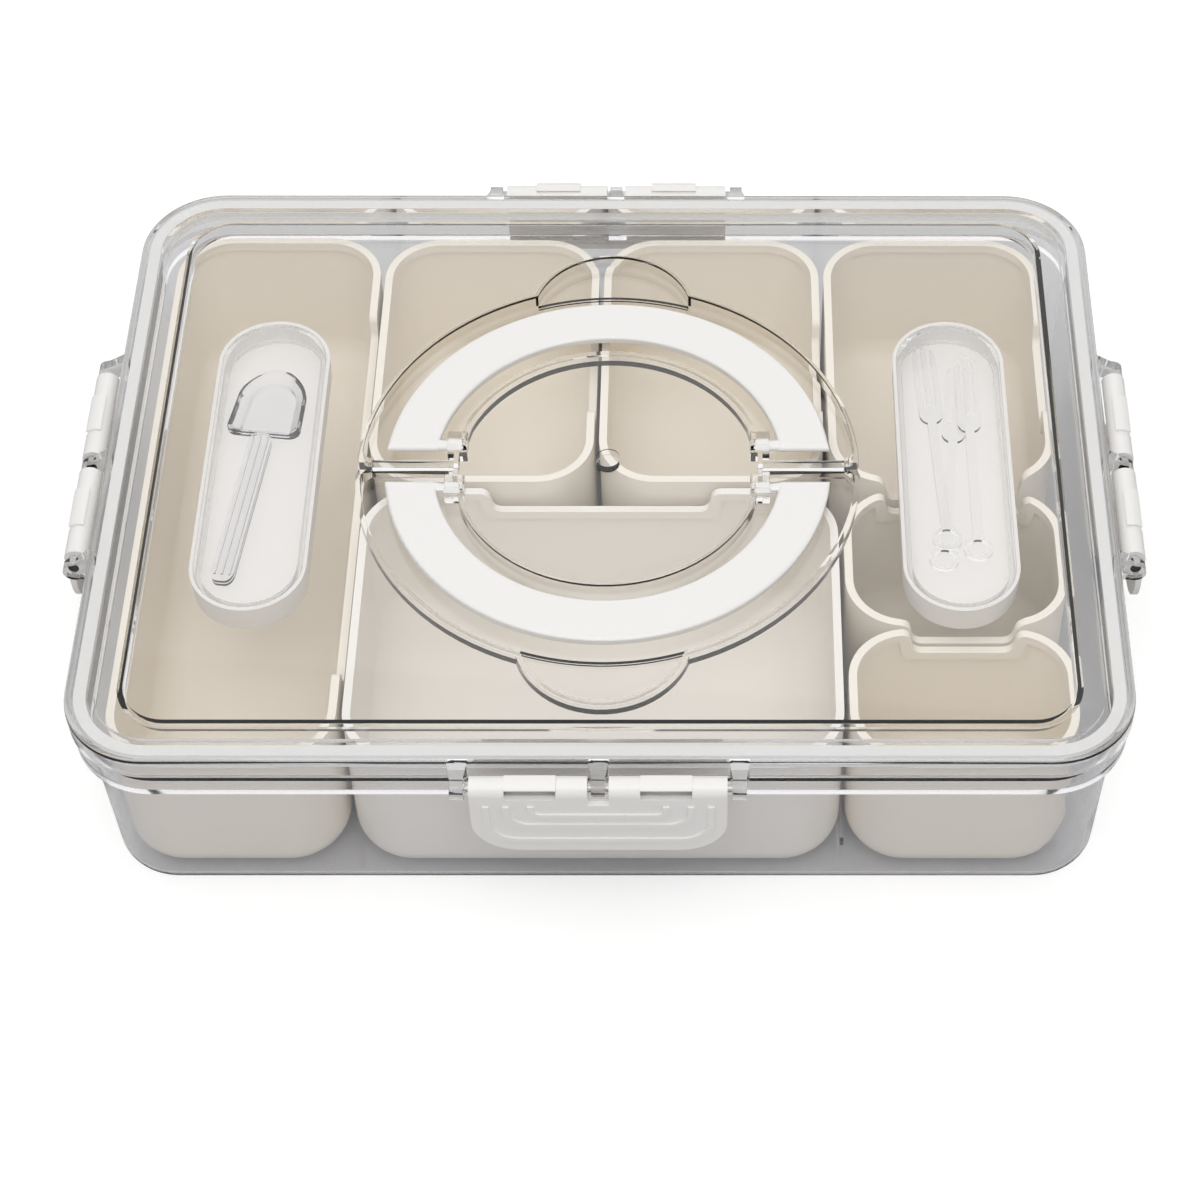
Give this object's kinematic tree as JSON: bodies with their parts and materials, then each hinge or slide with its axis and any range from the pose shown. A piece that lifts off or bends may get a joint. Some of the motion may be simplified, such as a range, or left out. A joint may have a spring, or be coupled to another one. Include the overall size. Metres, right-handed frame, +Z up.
{
  "type": "divided snack box",
  "caption": "Clear rectangular tub of loose bins under a lift-off lid with hinged side latches, folding carry handles and cutlery trays beneath it.",
  "frame": {"origin": "on the table under the middle of the box, at the middle of its overall outline", "axes": "+X to the right along the long side, +Y towards the back, +Z up"},
  "size_m": [0.4024, 0.3066, 0.088],
  "materials": {
    "clear_shell": "clear, polished, very faintly grey",
    "bin_plastic": "warm ivory, fine satin",
    "white_plastic": "off-white, soft gloss",
    "seal": "white silicone, matte",
    "clear_cutlery": "clear, polished"
  },
  "bodies": {
    "tub": {"tub": "clear_shell", "bin_long": "bin_plastic", "bin_rear_left": "bin_plastic", "bin_rear_middle": "bin_plastic", "bin_rear_right": "bin_plastic", "bin_large": "bin_plastic", "bin_small_front": "bin_plastic", "bin_small_rear": "bin_plastic"},
    "lid": {"lid": "clear_shell", "lid_seal": "seal", "tray_left": "white_plastic", "tray_right": "white_plastic", "spoon_lower": "clear_cutlery", "spoon_upper": "clear_cutlery", "fork_low": "clear_cutlery", "fork_middle": "clear_cutlery", "fork_high": "clear_cutlery"},
    "latch_front": {"latch_front": "white_plastic"},
    "latch_back": {"latch_back": "white_plastic"},
    "latch_left": {"latch_left": "white_plastic"},
    "latch_right": {"latch_right": "white_plastic"},
    "handle_front": {"handle_front": "white_plastic"},
    "handle_back": {"handle_back": "white_plastic"}
  },
  "joints": [
    {"name": "lid_lift", "type": "slide", "parent": "tub", "child": "lid", "axis": [0, 0, 1], "range_m": [0, 0.12]},
    {"name": "latch_front_hinge", "type": "hinge", "parent": "lid", "child": "latch_front", "pos_m": [0, -0.14815, 0.0802], "axis": [-1, 0, 0], "range_deg": [0, 110]},
    {"name": "latch_back_hinge", "type": "hinge", "parent": "lid", "child": "latch_back", "pos_m": [0, 0.14815, 0.0802], "axis": [1, 0, 0], "range_deg": [0, 110]},
    {"name": "latch_left_hinge", "type": "hinge", "parent": "lid", "child": "latch_left", "pos_m": [-0.196, 0, 0.0802], "axis": [0, 1, 0], "range_deg": [0, 110]},
    {"name": "latch_right_hinge", "type": "hinge", "parent": "lid", "child": "latch_right", "pos_m": [0.196, 0, 0.0802], "axis": [0, -1, 0], "range_deg": [0, 110]},
    {"name": "handle_front_fold", "type": "hinge", "parent": "lid", "child": "handle_front", "pos_m": [0, -0.0108, 0.0798], "axis": [-1, 0, 0], "range_deg": [0, 95]},
    {"name": "handle_back_fold", "type": "hinge", "parent": "lid", "child": "handle_back", "pos_m": [0, 0.0108, 0.0798], "axis": [1, 0, 0], "range_deg": [0, 95]}
  ]
}
